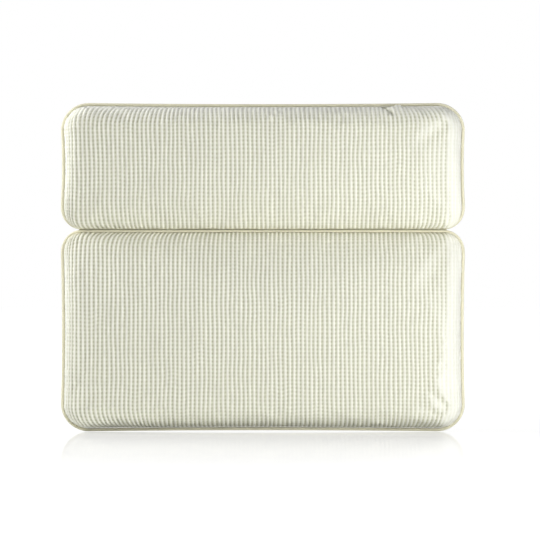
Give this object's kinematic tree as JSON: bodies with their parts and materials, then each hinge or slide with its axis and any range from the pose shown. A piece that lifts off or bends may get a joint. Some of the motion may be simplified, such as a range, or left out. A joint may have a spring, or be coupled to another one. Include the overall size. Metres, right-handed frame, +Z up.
{
  "type": "bath pillow",
  "caption": "Padded bath pillow with hinged upper and lower panels in waffle knit, piped edges and suction cups on the back that grip the bath wall.",
  "frame": {"origin": "middle of the fold's length, in the plane of the suction cups' rims, where the bath wall is", "axes": "+X across the pillow, to the right seen from the padded front; +Y from the pillow to the wall; +Z up, from the lower panel to the upper one"},
  "size_m": [0.38, 0.0562, 0.3088],
  "materials": {
    "waffle_knit": "waffle knit, off-white",
    "backing_cloth": "plain weave, off-white",
    "pillow_foam": "open-cell foam, cream",
    "piping_cloth": "bias-cut cotton, beige",
    "woven_tape": "woven tape, beige",
    "clear_vinyl": "soft milky vinyl",
    "grommet_plastic": "moulded, white"
  },
  "bodies": {
    "upper_panel": {"upper_front_cover": "waffle_knit", "upper_back_panel": "backing_cloth", "upper_foam_core": "pillow_foam", "upper_piping": "piping_cloth", "hinge_tape": "woven_tape", "upper_left_grommet": "grommet_plastic", "upper_left_grommet_washer": "grommet_plastic", "upper_middle_grommet": "grommet_plastic", "upper_middle_grommet_washer": "grommet_plastic", "upper_right_grommet": "grommet_plastic", "upper_right_grommet_washer": "grommet_plastic"},
    "lower_panel": {"lower_front_cover": "waffle_knit", "lower_back_panel": "backing_cloth", "lower_foam_core": "pillow_foam", "lower_piping": "piping_cloth", "lower_near_left_grommet": "grommet_plastic", "lower_near_left_grommet_washer": "grommet_plastic", "lower_near_right_grommet": "grommet_plastic", "lower_near_right_grommet_washer": "grommet_plastic", "lower_far_left_grommet": "grommet_plastic", "lower_far_left_grommet_washer": "grommet_plastic", "lower_far_right_grommet": "grommet_plastic", "lower_far_right_grommet_washer": "grommet_plastic"},
    "upper_left_cup": {"upper_left_suction_cup": "clear_vinyl"},
    "upper_middle_cup": {"upper_middle_suction_cup": "clear_vinyl"},
    "upper_right_cup": {"upper_right_suction_cup": "clear_vinyl"},
    "lower_near_left_cup": {"lower_near_left_suction_cup": "clear_vinyl"},
    "lower_near_right_cup": {"lower_near_right_suction_cup": "clear_vinyl"},
    "lower_far_left_cup": {"lower_far_left_suction_cup": "clear_vinyl"},
    "lower_far_right_cup": {"lower_far_right_suction_cup": "clear_vinyl"}
  },
  "joints": [
    {"name": "panel_fold", "type": "hinge", "parent": "upper_panel", "child": "lower_panel", "pos_m": [0, -0.0248, 0], "axis": [1, 0, 0], "range_deg": [-15, 100], "deforming": ["hinge_tape"]},
    {"name": "upper_left_cup_swivel", "type": "hinge", "parent": "upper_panel", "child": "upper_left_cup", "pos_m": [-0.125, 0, 0.062], "axis": [0, 1, 0], "continuous": true},
    {"name": "upper_middle_cup_swivel", "type": "hinge", "parent": "upper_panel", "child": "upper_middle_cup", "pos_m": [0, 0, 0.062], "axis": [0, 1, 0], "continuous": true},
    {"name": "upper_right_cup_swivel", "type": "hinge", "parent": "upper_panel", "child": "upper_right_cup", "pos_m": [0.125, 0, 0.062], "axis": [0, 1, 0], "continuous": true},
    {"name": "lower_near_left_cup_swivel", "type": "hinge", "parent": "lower_panel", "child": "lower_near_left_cup", "pos_m": [-0.11, 0, -0.055], "axis": [0, 1, 0], "continuous": true},
    {"name": "lower_near_right_cup_swivel", "type": "hinge", "parent": "lower_panel", "child": "lower_near_right_cup", "pos_m": [0.11, 0, -0.055], "axis": [0, 1, 0], "continuous": true},
    {"name": "lower_far_left_cup_swivel", "type": "hinge", "parent": "lower_panel", "child": "lower_far_left_cup", "pos_m": [-0.11, 0, -0.1394], "axis": [0, 1, 0], "continuous": true},
    {"name": "lower_far_right_cup_swivel", "type": "hinge", "parent": "lower_panel", "child": "lower_far_right_cup", "pos_m": [0.11, 0, -0.1394], "axis": [0, 1, 0], "continuous": true}
  ]
}
